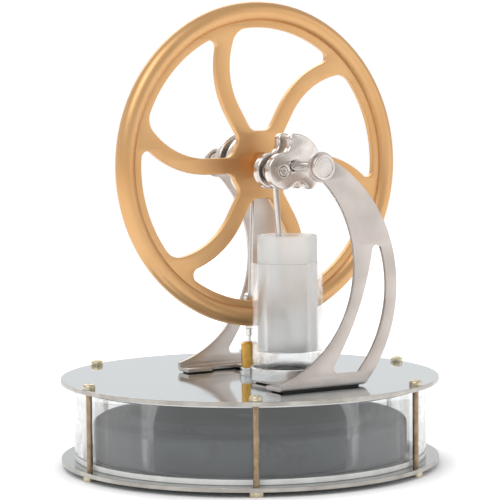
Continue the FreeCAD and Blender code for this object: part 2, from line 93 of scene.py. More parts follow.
def turnPoint(point, degrees):
    a = math.radians(degrees)
    x, y = point[0], point[1]
    return Vector((x * math.cos(a) - y * math.sin(a), x * math.sin(a) + y * math.cos(a)))


def throughThree(a, b, c):  # circle through three points, as centre and radius
    a, b, c = Vector(a), Vector(b), Vector(c)
    d = 2 * (a.x * (b.y - c.y) + b.x * (c.y - a.y) + c.x * (a.y - b.y))
    sa, sb, sc = a.length_squared, b.length_squared, c.length_squared
    x = (sa * (b.y - c.y) + sb * (c.y - a.y) + sc * (a.y - b.y)) / d
    y = (sa * (c.x - b.x) + sb * (a.x - c.x) + sc * (b.x - a.x)) / d
    return Vector((x, y)), (a - Vector((x, y))).length


def circlesMeet(c1, r1, c2, r2, near):  # the crossing of two circles that is nearer a point
    c1, c2, near = Vector(c1), Vector(c2), Vector(near)
    d = (c2 - c1).length
    along = (d * d + r1 * r1 - r2 * r2) / (2 * d)
    up = math.sqrt(max(r1 * r1 - along * along, 0.0))
    u = (c2 - c1) / d
    side = Vector((-u.y, u.x))
    both = [c1 + u * along + side * up, c1 + u * along - side * up]
    return min(both, key=lambda p: (p - near).length)


def lineMeetsCircle(start, direction, centre, radius, near):
    start, centre, near = Vector(start), Vector(centre), Vector(near)
    u = Vector(direction).normalized()
    foot = start + u * (centre - start).dot(u)
    reach = math.sqrt(max(radius * radius - (foot - centre).length_squared, 0.0))
    return min([foot + u * reach, foot - u * reach], key=lambda p: (p - near).length)


def arcPoints(centre, start, end, step=0.35, longWay=False):  # points about step millimetres apart
    centre, start, end = Vector(centre), Vector(start), Vector(end)
    radius = (start - centre).length
    a = math.atan2(start.y - centre.y, start.x - centre.x)
    b = math.atan2(end.y - centre.y, end.x - centre.x)
    turn = (b - a + math.pi) % (2 * math.pi) - math.pi
    if longWay:
        turn -= math.copysign(2 * math.pi, turn)
    count = max(3, round(abs(turn) * radius / step), round(abs(math.degrees(turn)) / 9))
    return [onCircle(centre, radius, math.degrees(a + turn * k / count)) for k in range(count + 1)]


def ringPoints(centre, radius, count=48):
    return [onCircle(centre, radius, 360 * k / count) for k in range(count)]


def touch(centre, radius, place):  # where a corner's circle touches a bigger one
    return Vector(centre) + (place - Vector(centre)).normalized() * radius


def rounded(corners, segments=5):  # corners are (x, y, radius)
    points = []
    count = len(corners)
    for k in range(count):
        x, y, radius = corners[k]
        here = Vector((x, y))
        if radius <= 0:
            points.append(here)
            continue
        before = (Vector(corners[k - 1][:2]) - here)
        after = (Vector(corners[(k + 1) % count][:2]) - here)
        half = before.angle(after) / 2
        reach = radius / math.tan(half)
        inward = (before.normalized() + after.normalized()).normalized()
        middlePoint = here + inward * radius / math.sin(half)
        start = here + before.normalized() * reach
        end = here + after.normalized() * reach
        a = math.atan2(start.y - middlePoint.y, start.x - middlePoint.x)
        b = math.atan2(end.y - middlePoint.y, end.x - middlePoint.x)
        turn = (b - a + math.pi) % (2 * math.pi) - math.pi
        for s in range(segments + 1):
            points.append(onCircle(middlePoint, radius, math.degrees(a + turn * s / segments)))
    return points


# colours, nodes and materials
def linearColour(code):
    parts = [int(code[k:k + 2], 16) / 255 for k in (1, 3, 5)]
    return tuple(p / 12.92 if p <= 0.04045 else ((p + 0.055) / 1.055) ** 2.4 for p in parts) + (1.0,)


def addNode(tree, kind, settings=None, links=None):
    node = tree.nodes.new(kind)
    for name, value in (settings or {}).items():
        if isinstance(name, str) and hasattr(node, name):
            setattr(node, name, value)
        else:
            node.inputs[name].default_value = value
    for name, socket in (links or {}).items():
        tree.links.new(socket, node.inputs[name])
    return node


def newMaterial(name, colour, roughness, **settings):
    material = bpy.data.materials.new(name)
    material.use_nodes = True
    shader = material.node_tree.nodes["Principled BSDF"]
    shader.inputs["Base Color"].default_value = linearColour(colour)
    shader.inputs["Roughness"].default_value = roughness
    for key, value in settings.items():
        shader.inputs[key].default_value = value
    return material, material.node_tree, shader


def metreCoordinates(tree, stretch=(1, 1, 1)):
    coordinates = addNode(tree, "ShaderNodeTexCoord").outputs["Object"]
    return addNode(tree, "ShaderNodeMapping", {"Scale": stretch}, {"Vector": coordinates}).outputs["Vector"]


def varyColour(tree, shader, fac, dark, light, start=0.3, end=0.7):
    ramp = addNode(tree, "ShaderNodeValToRGB", None, {"Fac": fac})
    ramp.color_ramp.elements[0].position, ramp.color_ramp.elements[1].position = start, end
    ramp.color_ramp.elements[0].color = linearColour(dark)
    ramp.color_ramp.elements[1].color = linearColour(light)
    tree.links.new(ramp.outputs["Color"], shader.inputs["Base Color"])


def varyRoughness(tree, shader, fac, least, most):
    spread = addNode(tree, "ShaderNodeMapRange", {"To Min": least, "To Max": most}, {"Value": fac})
    tree.links.new(spread.outputs["Result"], shader.inputs["Roughness"])


def addBump(tree, shader, height, distance, strength=1.0):
    bump = addNode(tree, "ShaderNodeBump", {"Distance": distance, "Strength": strength}, {"Height": height})
    tree.links.new(bump.outputs["Normal"], shader.inputs["Normal"])


def grain(tree, vector, size, detail=3.0):  # noise whose blotches are about size millimetres across
    settings = {"Scale": 1 / (size * mm), "Detail": detail}
    return addNode(tree, "ShaderNodeTexNoise", settings, {"Vector": vector}).outputs["Fac"]


def rings(tree, vector, axis, pitch, distortion=0.6):  # turned or ground lines, pitch millimetres apart
    settings = {"wave_type": "BANDS", "bands_direction": axis, "Scale": 0.314 / (pitch * mm),
                "Distortion": distortion, "Detail": 2.0}
    return addNode(tree, "ShaderNodeTexWave", settings, {"Vector": vector}).outputs["Fac"]


materialLooks = {
    "platePolish": {"colour": "#D0D8DC", "roughness": 0.07},
    "satinNickel": {"light": "#CBC2BC", "dark": "#BBB2AC", "roughness": 0.30},
    "bronzeCoat": {"light": "#DBAE7B", "dark": "#D2A16B", "roughness": 0.36},
    "foam": {"light": "#5C6267", "dark": "#4A4F54", "cell": 0.40},
}


def makeMaterials():
    made = {}
    look = materialLooks["platePolish"]
    # nickel-plated carbon steel, buffed: a slightly blue mirror, with faint wipe marks
    m, tree, shader = newMaterial("buffedNickelPlate", look["colour"], look["roughness"], Metallic=1.0)
    where = metreCoordinates(tree)
    varyRoughness(tree, shader, grain(tree, where, 14, 2), look["roughness"] - 0.03,
                  look["roughness"] + 0.05)
    addBump(tree, shader, grain(tree, where, 22, 1), 0.00002, 0.25)
    made["mirror_plate"] = m

    # the same plate's turned rim, duller, with cutter marks round it; its darker, greyer colour is painted
    # shade, standing in for the shadow and dark table that the edge reflects
    m, tree, shader = newMaterial("turnedRimPaintedShade", "#B4B0AB", 0.34, Metallic=1.0)
    where = metreCoordinates(tree)
    varyColour(tree, shader, grain(tree, where, 5, 3), "#A19C95", "#C2BEB8")
    addBump(tree, shader, rings(tree, where, "Z", 0.22), 0.00001, 0.5)
    made["plate_rim"] = m

    # the lower plate, which stands on the table: the same buffed plating, rougher and darker in colour than
    # the top plate
    m, tree, shader = newMaterial("dulledNickelPlate", "#AEB2B1", 0.16, Metallic=1.0)
    where = metreCoordinates(tree)
    varyRoughness(tree, shader, grain(tree, where, 9, 3), 0.11, 0.22)
    addBump(tree, shader, grain(tree, where, 18, 1), 0.00002, 0.3)
    made["lower_plate"] = m

    look = materialLooks["satinNickel"]
    # carbon steel, tumbled and nickel plated: warm grey, soft reflections, a fine even grain
    m, tree, shader = newMaterial("tumbledNickelPlate", look["light"], look["roughness"], Metallic=1.0)
    where = metreCoordinates(tree)
    varyColour(tree, shader, grain(tree, where, 6, 4), look["dark"], look["light"])
    varyRoughness(tree, shader, grain(tree, where, 1.5), look["roughness"] - 0.05, look["roughness"] + 0.07)
    addBump(tree, shader, grain(tree, where, 0.35), 0.00001, 0.5)
    made["nickel_plate"] = m

    # the same plating on the small cast cranks, rounder and brighter
    m, tree, shader = newMaterial("tumbledCrankSteel", "#D3CBC5", 0.22, Metallic=1.0)
    where = metreCoordinates(tree)
    varyColour(tree, shader, grain(tree, where, 3, 4), "#CCC4BE", "#E4DDD7")
    varyRoughness(tree, shader, grain(tree, where, 0.8), 0.17, 0.30)
    addBump(tree, shader, grain(tree, where, 0.5), 0.000012, 0.6)
    made["crank_steel"] = m

    look = materialLooks["bronzeCoat"]
    # die-cast wheel with a bronze-coloured anodic coat: satin gold brown, turned rim
    m, tree, shader = newMaterial("bronzeAnodicCoat", look["light"], look["roughness"], Metallic=0.85)
    where = metreCoordinates(tree)
    varyColour(tree, shader, grain(tree, where, 18, 3), look["dark"], look["light"])
    varyRoughness(tree, shader, grain(tree, where, 0.6), look["roughness"] - 0.05, look["roughness"] + 0.07)
    addBump(tree, shader, grain(tree, where, 0.22), 0.000012, 0.6)
    made["bronze_wheel"] = m

    # cast polycarbonate tube: clear, with a faint cool tint and a few rubbed marks
    m, tree, shader = newMaterial("clearPolycarbonate", "#FAFCFC", 0.02, IOR=1.585)
    shader.inputs["Transmission Weight"].default_value = 1.0
    shader.inputs["Alpha"].default_value = 0.8
    where = metreCoordinates(tree, (1, 1, 0.2))
    varyRoughness(tree, shader, grain(tree, where, 9, 2), 0.0, 0.05)
    made["clear_polycarbonate"] = m

    # borosilicate tube: clear and hard
    m, tree, shader = newMaterial("borosilicateGlass", "#FFFFFF", 0.0, IOR=1.474)
    shader.inputs["Transmission Weight"].default_value = 1.0
    shader.inputs["Alpha"].default_value = 0.4
    where = metreCoordinates(tree)
    varyRoughness(tree, shader, grain(tree, where, 8, 2), 0.0, 0.03)
    made["clear_glass"] = m

    # ground glass piston: milky white, lets light through, fine ground lines round it
    m, tree, shader = newMaterial("groundGlass", "#FFFFFF", 0.5, IOR=1.33)
    shader.inputs["Transmission Weight"].default_value = 0.8
    where = metreCoordinates(tree)
    varyColour(tree, shader, grain(tree, where, 5, 3), "#FAFBFB", "#FFFFFF")
    addBump(tree, shader, rings(tree, where, "Z", 0.6), 0.00001, 0.35)
    made["frosted_glass"] = m

    look = materialLooks["foam"]
    # closed-cell PVC foam: matt slate grey, cells under half a millimetre
    m, tree, shader = newMaterial("pvcFoam", look["light"], 0.95)
    shader.inputs["Specular IOR Level"].default_value = 0.25
    where = metreCoordinates(tree)
    cells = addNode(tree, "ShaderNodeTexVoronoi", {"Scale": 1 / (look["cell"] * mm)}, {"Vector": where})
    shade = addNode(tree, "ShaderNodeMath", {"operation": "ADD"},
                    {0: grain(tree, where, 11, 4), 1: grain(tree, where, 1.2, 2)})
    varyColour(tree, shader, shade.outputs["Value"], look["dark"], look["light"], 0.7, 1.3)
    addBump(tree, shader, cells.outputs["Distance"], 0.00006, 0.5)
    made["grey_foam"] = m

    # turned brass-coloured bronze: warm and bright, cutter lines round it
    m, tree, shader = newMaterial("turnedBronze", "#DDAE58", 0.26, Metallic=1.0)
    where = metreCoordinates(tree)
    varyColour(tree, shader, grain(tree, where, 2.5, 3), "#CC9A46", "#E2B764")
    addBump(tree, shader, rings(tree, where, "Z", 0.25), 0.000012, 0.6)
    made["gland_bronze"] = m

    # turned steel: pale grey with cutter lines
    m, tree, shader = newMaterial("turnedSteel", "#E2E2E1", 0.24, Metallic=1.0)
    where = metreCoordinates(tree)
    varyRoughness(tree, shader, grain(tree, where, 2.0), 0.18, 0.32)
    addBump(tree, shader, rings(tree, where, "Z", 0.3), 0.000012, 0.5)
    made["turned_steel"] = m

    # ground and polished steel for shafts, pins and rods
    m, tree, shader = newMaterial("polishedSteel", "#D5D2CF", 0.16, Metallic=1.0)
    where = metreCoordinates(tree)
    varyRoughness(tree, shader, grain(tree, where, 1.2), 0.11, 0.22)
    addBump(tree, shader, rings(tree, where, "Y", 0.4), 0.000006, 0.35)
    made["polished_rod"] = m

    # bronze-dipped screws: brown on the threads; the thread shows as fine rings
    m, tree, shader = newMaterial("bronzedScrewSteel", "#A08A70", 0.36, Metallic=1.0)
    where = metreCoordinates(tree)
    varyColour(tree, shader, grain(tree, where, 1.6, 3), "#8A765D", "#B19C82")
    addBump(tree, shader, rings(tree, where, "Z", 0.5, 0.0), 0.00006, 0.55)
    made["bronze_screw"] = m

    # zinc-and-yellow dipped heads and nuts: brighter, with a fine mottle
    m, tree, shader = newMaterial("yellowPassivatedSteel", "#D8CCB0", 0.30, Metallic=1.0)
    where = metreCoordinates(tree)
    varyColour(tree, shader, grain(tree, where, 0.9, 3), "#C2B493", "#E2D9C3")
    addBump(tree, shader, grain(tree, where, 0.4), 0.00002, 0.5)
    made["screw_head"] = m

    # moulded nitrile rubber: near black and matt, a faint mottle; on the bracket gasket this black is
    # painted shade
    m, tree, shader = newMaterial("nitrileRubber", "#1E1F20", 0.62)
    where = metreCoordinates(tree)
    varyColour(tree, shader, grain(tree, where, 1.5, 3), "#18191A", "#2A2B2C")
    addBump(tree, shader, grain(tree, where, 0.4), 0.00003, 0.5)
    made["black_gasket"] = m

    # milky silicone seal: soft white, a faint sheen and slight clouding
    m, tree, shader = newMaterial("milkySilicone", "#EDEDEA", 0.42)
    where = metreCoordinates(tree)
    varyColour(tree, shader, grain(tree, where, 4, 3), "#E2E2DF", "#F2F2EF")
    addBump(tree, shader, grain(tree, where, 1.0), 0.00002, 0.4)
    made["seal_band"] = m

    # blackened set screw
    m, tree, shader = newMaterial("blackOxideSteel", "#3A3A3B", 0.38, Metallic=1.0)
    where = metreCoordinates(tree)
    varyColour(tree, shader, grain(tree, where, 0.6, 3), "#2B2B2C", "#4A4A4B")
    addBump(tree, shader, grain(tree, where, 0.3), 0.00001, 0.5)
    made["dark_screw"] = m
    return made


materials = makeMaterials()
print("materials made:", len(materials))


def withSupport(profile, closed, away=0.04):  # points near the ends of long runs keep their shading even
    points = [Vector(p) for p in profile]
    made = []
    for k, here in enumerate(points):
        made.append(here)
        if k + 1 == len(points) and not closed:
            break
        there = points[(k + 1) % len(points)]
        run = (there - here).length
        if run > 0.5:
            made.append(here.lerp(there, away / run))
            made.append(here.lerp(there, 1 - away / run))
    return made


# meshes, in millimetres until they are finished
def turned(profile, centre, axis="Z", steps=96, closed=False):
    # (radius, height) pairs; a closed profile makes a ring, an open one starts and ends on the axis
    shape = bmesh.new()
    rows = []
    for radius, height in withSupport(profile, closed):
        if radius < 1e-6:
            rows.append([shape.verts.new((0, 0, height))])
        else:
            rows.append([shape.verts.new((radius * math.cos(2 * math.pi * k / steps),
                                          radius * math.sin(2 * math.pi * k / steps), height))
                         for k in range(steps)])
    pairs = list(zip(rows, rows[1:])) + ([(rows[-1], rows[0])] if closed else [])
    for lower, upper in pairs:
        for k in range(steps):
            n = (k + 1) % steps
            below = [lower[k % len(lower)], lower[n % len(lower)]]
            above = [upper[n % len(upper)], upper[k % len(upper)]]
            unique = list(dict.fromkeys(below + above))
            if len(unique) > 2:
                shape.faces.new(unique)
    bmesh.ops.recalc_face_normals(shape, faces=shape.faces)
    if axis == "Y":
        bmesh.ops.rotate(shape, verts=shape.verts, matrix=Matrix.Rotation(math.radians(90), 3, "X"))
    bmesh.ops.translate(shape, verts=shape.verts, vec=Vector(centre))
    mesh = bpy.data.meshes.new("turned")
    shape.to_mesh(mesh)
    shape.free()
    return mesh


def solidRound(radius, bottom, top, edge, segments=4):  # profile of a plain disc or rod with rounded rims
    corners = [(0, bottom, 0), (radius, bottom, edge), (radius, top, edge), (0, top, 0)]
    return rounded(corners, segments)


def tubeRound(outer, inner, bottom, top, edge, segments=4):
    corners = [(inner, bottom, edge), (outer, bottom, edge), (outer, top, edge), (inner, top, edge)]
    return rounded(corners, segments)


def flatPlate(outlines, thickness, edge, resolution=3):
    # closed outlines in the XY plane, the first one outside, the others holes; the rims are rounded
    curve = bpy.data.curves.new("outline", "CURVE")
    curve.dimensions = "2D"
    curve.fill_mode = "BOTH"
    for outline in outlines:
        spline = curve.splines.new("POLY")
        spline.points.add(len(outline) - 1)
        for place, point in zip(outline, spline.points):
            point.co = (place[0], place[1], 0, 1)
        spline.use_cyclic_u = True
    curve.extrude = thickness / 2 - edge
    curve.bevel_depth = edge
    curve.bevel_resolution = resolution
    curve.offset = -edge
    holder = bpy.data.objects.new("outline", curve)
    bpy.context.collection.objects.link(holder)
    evaluated = holder.evaluated_get(bpy.context.evaluated_depsgraph_get())
    mesh = bpy.data.meshes.new_from_object(evaluated)
    bpy.data.objects.remove(holder)
    shape = bmesh.new()
    shape.from_mesh(mesh)
    bmesh.ops.remove_doubles(shape, verts=shape.verts, dist=1e-4)
    bmesh.ops.recalc_face_normals(shape, faces=shape.faces)
    shape.to_mesh(mesh)
    shape.free()
    return mesh


def standUp(mesh, y, z, degrees=0.0, x=0.0):
    # a flat plate turned by degrees, then stood in the XZ plane at y, its outline's X and Y now X and Z
    turn = Matrix.Rotation(math.radians(degrees), 4, "Z")
    mesh.transform(Matrix.Translation((x, y, z)) @ Matrix.Rotation(math.radians(90), 4, "X") @ turn)
    return mesh


def softShade(mesh, flatAxes=(), angle=34):
    # big flat faces stay flat, and the rounded rims between them are smooth
    for face in mesh.polygons:
        face.use_smooth = not any(abs(face.normal[axis]) > 0.9999 for axis in flatAxes)
    mesh.set_sharp_from_angle(angle=math.radians(angle))


def finishPiece(name, mesh, material, body, replaced, flatAxes=(), angle=34):
    mesh.transform(Matrix.Scale(mm, 4))
    mesh.name = name
    mesh.materials.clear()
    mesh.materials.append(materials[material])
    softShade(mesh, flatAxes, angle)
    piece = bpy.data.objects.new(name, mesh)
    bpy.context.collection.objects.link(piece)
    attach(piece, body)
    if replaced:
        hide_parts(*replaced)
    return piece


def cutWith(mesh, cutterMesh):  # boolean difference of two meshes
    body = bpy.data.objects.new("body", mesh)
    cutter = bpy.data.objects.new("cutter", cutterMesh)
    for item in (body, cutter):
        bpy.context.collection.objects.link(item)
    cut = body.modifiers.new("cut", "BOOLEAN")
    cut.operation = "DIFFERENCE"
    cut.solver = "EXACT"
    cut.object = cutter
    result = bpy.data.meshes.new_from_object(body.evaluated_get(bpy.context.evaluated_depsgraph_get()))
    bpy.data.objects.remove(body)
    bpy.data.objects.remove(cutter)
    return result


# repeated pieces: one instance mesh placed round a circle
def ringTree():
    tree = bpy.data.node_groups.new("roundTheCircle", "GeometryNodeTree")
    face = tree.interface
    inputs = {}
    for label, kind, value in (("Count", "NodeSocketInt", 6), ("Circle Radius", "NodeSocketFloat", 46.0),
                               ("First Angle", "NodeSocketFloat", 0.0)):
        socket = face.new_socket(label, in_out="INPUT", socket_type=kind)
        socket.default_value = value
        inputs[label] = socket.identifier
    for label, kind in (("Part", "NodeSocketObject"), ("Finish", "NodeSocketMaterial")):
        inputs[label] = face.new_socket(label, in_out="INPUT", socket_type=kind).identifier
    face.new_socket("Geometry", in_out="OUTPUT", socket_type="NodeSocketGeometry")
    given = addNode(tree, "NodeGroupInput")
    circle = addNode(tree, "GeometryNodeMeshCircle", None,
                     {"Vertices": given.outputs["Count"], "Radius": given.outputs["Circle Radius"]})
    partInfo = addNode(tree, "GeometryNodeObjectInfo", None, {"Object": given.outputs["Part"]})
    number = addNode(tree, "GeometryNodeInputIndex").outputs["Index"]
    share = addNode(tree, "ShaderNodeMath", {"operation": "DIVIDE"}, {0: number, 1: given.outputs["Count"]})
    turn = addNode(tree, "ShaderNodeMath", {"operation": "MULTIPLY", 1: 2 * math.pi},
                   {0: share.outputs["Value"]})
    around = addNode(tree, "ShaderNodeCombineXYZ", None, {"Z": turn.outputs["Value"]})
    placed = addNode(tree, "GeometryNodeInstanceOnPoints", None,
                     {"Points": circle.outputs["Mesh"], "Instance": partInfo.outputs["Geometry"],
                      "Rotation": around.outputs["Vector"]})
    tilt = addNode(tree, "ShaderNodeCombineXYZ", None, {"Z": given.outputs["First Angle"]})
    real = addNode(tree, "GeometryNodeRealizeInstances", None, {"Geometry": placed.outputs["Instances"]})
    whole = addNode(tree, "GeometryNodeTransform", None,
                    {"Geometry": real.outputs["Geometry"], "Rotation": tilt.outputs["Vector"]})
    painted = addNode(tree, "GeometryNodeSetMaterial", None,
                      {"Geometry": whole.outputs["Geometry"], "Material": given.outputs["Finish"]})
    addNode(tree, "NodeGroupOutput", None, {"Geometry": painted.outputs["Geometry"]})
    return tree, inputs


def beadTree():
    tree = bpy.data.node_groups.new("roundBead", "GeometryNodeTree")
    inputs = {}
    for label, kind, value in (("Wheel Radius", "NodeSocketFloat", 38.55),
                               ("Bead Radius", "NodeSocketFloat", 2.45),
                               ("Around", "NodeSocketInt", 256), ("Across", "NodeSocketInt", 48)):
        socket = tree.interface.new_socket(label, in_out="INPUT", socket_type=kind)
        socket.default_value = value
        inputs[label] = socket.identifier
    inputs["Finish"] = tree.interface.new_socket("Finish", in_out="INPUT",
                                                 socket_type="NodeSocketMaterial").identifier
    tree.interface.new_socket("Geometry", in_out="OUTPUT", socket_type="NodeSocketGeometry")
    given = addNode(tree, "NodeGroupInput")
    path = addNode(tree, "GeometryNodeCurvePrimitiveCircle", None,
                   {"Resolution": given.outputs["Around"], "Radius": given.outputs["Wheel Radius"]})
    section = addNode(tree, "GeometryNodeCurvePrimitiveCircle", None,
                      {"Resolution": given.outputs["Across"], "Radius": given.outputs["Bead Radius"]})
    swept = addNode(tree, "GeometryNodeCurveToMesh", None,
                    {"Curve": path.outputs["Curve"], "Profile Curve": section.outputs["Curve"]})
    real = addNode(tree, "GeometryNodeRealizeInstances", None, {"Geometry": swept.outputs["Mesh"]})
    painted = addNode(tree, "GeometryNodeSetMaterial", None,
                      {"Geometry": real.outputs["Geometry"], "Material": given.outputs["Finish"]})
    addNode(tree, "NodeGroupOutput", None, {"Geometry": painted.outputs["Geometry"]})
    return tree, inputs


def runTree(tree, values):  # plain mesh of a tree's result
    blank = bpy.data.objects.new("blank", bpy.data.meshes.new("blank"))
    bpy.context.collection.objects.link(blank)
    modifier = blank.modifiers.new("nodes", "NODES")
    modifier.node_group = tree
    for identifier, value in values:
        modifier[identifier] = value
    mesh = bpy.data.meshes.new_from_object(blank.evaluated_get(bpy.context.evaluated_depsgraph_get()))
    bpy.data.objects.remove(blank)
    return mesh


ringNodes, ringInputs = ringTree()
beadNodes, beadInputs = beadTree()


def roundTheCircle(partMesh, count, radius, firstAngle, finish):
    part = bpy.data.objects.new("part", partMesh)
    bpy.context.collection.objects.link(part)
    mesh = runTree(ringNodes, [(ringInputs["Count"], count), (ringInputs["Circle Radius"], radius),
                               (ringInputs["First Angle"], firstAngle), (ringInputs["Part"], part),
                               (ringInputs["Finish"], materials[finish])])
    bpy.data.objects.remove(part)
    return mesh


# the chamber
chamber = {"plateEdge": 0.12, "ringEdge": 0.18, "ringWall": 2.0, "gasketWidth": 3.2, "gasketEdge": 0.2,
           "gasketInset": 0.05, "steps": 192}


def plateMesh(node):
    edge = chamber["plateEdge"]
    profile = solidRound(high(node).x, low(node).z, high(node).z, edge, 3)
    return turned(profile, origin, steps=chamber["steps"])


for node, finish in (("base_plate", "lower_plate"), ("top_plate", "mirror_plate")):
    plate = finishPiece(node + "_buffed", plateMesh(node), finish, "chassis", [node], (2,))
    # the rim faces take the rim finish, whose darker colour is painted shade
    plate.data.materials.append(materials["plate_rim"])
    for face in plate.data.polygons:
        if abs(face.normal.z) < 0.9:
            face.material_index = 1

wall = high("chamber_ring").x
ringProfile = tubeRound(wall, wall - chamber["ringWall"], *heights("chamber_ring"), chamber["ringEdge"])
finishPiece("chamber_ring_clear", turned(ringProfile, origin, steps=chamber["steps"], closed=True),
            "clear_polycarbonate", "chassis", ["chamber_ring"], (2,))
for node in ("lower_gasket", "upper_gasket"):
    sealProfile = tubeRound(high(node).x - chamber["gasketInset"], high(node).x - chamber["gasketWidth"],
                            *heights(node), chamber["gasketEdge"])
    finishPiece(node + "_band", turned(sealProfile, origin, steps=chamber["steps"], closed=True),
                "seal_band", "chassis", [node], (2,))

screw = {"count": 6, "circle": 46.45, "rod": 0.75, "head": 1.6, "headHeight": 1.3, "crown": 0.75,
         "recess": 0.62, "depth": 0.5, "nutWidth": 3.2, "nutEdge": 0.14}


def screwHeadMesh():
    s = screw
    top = deckZ + s["headHeight"]
    floor = deckZ + s["headHeight"] - s["depth"]
    corners = [(0, deckZ, 0), (s["head"], deckZ, 0.1), (s["head"], top, s["crown"]), (s["recess"], top, 0.1),
               (s["recess"] * 0.9, floor, 0), (0, floor, 0)]
    return turned(rounded(corners, 6), origin, steps=48)


def screwRodMesh():
    return turned(solidRound(screw["rod"], low("tie_screws").z, deckZ, 0.12, 3), origin, steps=32)


def nutMesh():
    bottom, top = heights("tie_nuts")
    shape = bmesh.new()
    corner = screw["nutWidth"] / math.sqrt(3)
    base = [shape.verts.new((*onCircle((0, 0), corner, 60 * k), bottom)) for k in range(6)]
    face = shape.faces.new(base[::-1])
    grown = bmesh.ops.extrude_face_region(shape, geom=[face])
    bmesh.ops.translate(shape, verts=[v for v in grown["geom"] if isinstance(v, bmesh.types.BMVert)],
                        vec=(0, 0, top - bottom))
    bmesh.ops.recalc_face_normals(shape, faces=shape.faces)
    bmesh.ops.bevel(shape, geom=list(shape.edges), offset=screw["nutEdge"], segments=2, affect="EDGES",
                    profile=0.7)
    mesh = bpy.data.meshes.new("nut")
    shape.to_mesh(mesh)
    shape.free()
    return mesh


screwParts = (("tie_screw_heads", screwHeadMesh(), "screw_head", []),
              ("tie_screw_rods", screwRodMesh(), "bronze_screw", ["tie_screws"]),
              ("tie_nuts_bright", nutMesh(), "screw_head", ["tie_nuts"]))
for name, partMesh, finish, replaced in screwParts:
    mesh = roundTheCircle(partMesh, screw["count"], screw["circle"], 0.0, finish)
    finishPiece(name, mesh, finish, "chassis", replaced, (2,))
print("chamber and tie screws built")

# the foam displacer and its rod
foam = {"edge": 1.3, "land": 31.5, "landFoot": 32.7, "landHeight": 1.9, "landEdge": 0.5, "rod": 0.6,
        "washer": 2.2}
foamWall = high("displacer_disc").x
foamLow, foamHigh = heights("displacer_disc")
shoulder = foamHigh - foam["landHeight"]
foamCorners = [(0, foamLow, 0), (foamWall, foamLow, foam["edge"]), (foamWall, shoulder, foam["edge"]),
               (foam["landFoot"], shoulder, 0.25), (foam["land"], foamHigh, foam["landEdge"]),
               (0, foamHigh, 0)]
finishPiece("displacer_foam", turned(rounded(foamCorners, 6), origin, steps=192),
            "grey_foam", "displacer", ["displacer_disc"], (2,))
rodProfile = solidRound(foam["rod"], *heights("displacer_rod"), 0.1, 2)
finishPiece("displacer_rod_ground", turned(rodProfile, origin, steps=40),
            "polished_rod", "displacer", ["displacer_rod"], (2,))
washerProfile = tubeRound(foam["washer"], foam["rod"], *heights("rod_washer"), 0.12, 3)
finishPiece("rod_washer_turned", turned(washerProfile, origin, steps=48, closed=True),
            "polished_rod", "displacer", ["rod_washer"], (2,))

# the gland
gland = {"base": 2.6, "upper": 2.35, "step": 1.0, "bush": 2.1, "chamfer": 0.45, "bore": 0.66, "depth": 1.0}
baseTop = high("gland_base").z
glandCorners = [(0, deckZ, 0), (gland["base"], deckZ, 0.08), (gland["base"], deckZ + gland["step"], 0.08),
                (gland["upper"], deckZ + gland["step"], 0), (gland["upper"], baseTop, 0.15), (0, baseTop, 0)]
finishPiece("gland_base_turned", turned(rounded(glandCorners, 3), origin, steps=64),
            "turned_steel", "chassis", ["gland_base"], (2,))
bushLow, bushHigh = heights("gland_bush")
bushCorners = [(0, bushLow, 0), (gland["bush"], bushLow, 0.1),
               (gland["bush"], bushHigh - gland["chamfer"], 0.1),
               (gland["bush"] - gland["chamfer"], bushHigh, 0.08), (gland["bore"], bushHigh, 0.08),
               (gland["bore"], bushHigh - gland["depth"], 0), (0, bushHigh - gland["depth"], 0)]
finishPiece("gland_bush_turned", turned(rounded(bushCorners, 3), origin, steps=64),
            "gland_bronze", "chassis", ["gland_bush"], (2,))
print("displacer and gland built")

# the bracket, cut flat and folded
sheetMetal = {"thickness": 1.0, "edge": 0.14, "innerBend": 0.3, "halfWidth": 12.1, "headRadius": 3.7,
              "neckAngle": -81.3, "browAngle": 23.1, "holeRadius": 2.9, "toeHeight": 2.2,
              "innerBulge": (9.4, 28.5), "outerBulge": (21.9, 27.5),
              "frontTab": 7.0, "backTab": 5.5, "backNeck": 3.0, "stepFrom": -5.0, "stepTo": -3.0,
              "waist": 2.4, "waistBack": 5.6, "waistFront": 6.6, "notchRight": 3.6, "spigotHole": 5.6,
              "slotLeft": 1.7, "slotRight": 10.45, "slotFoot": 3.4, "slotTop": 15.5, "slotApex": 15.35,
              "slotInner": (11.7, 22.0), "slotOuter": (18.6, 21.0), "slotCorner": 1.4}


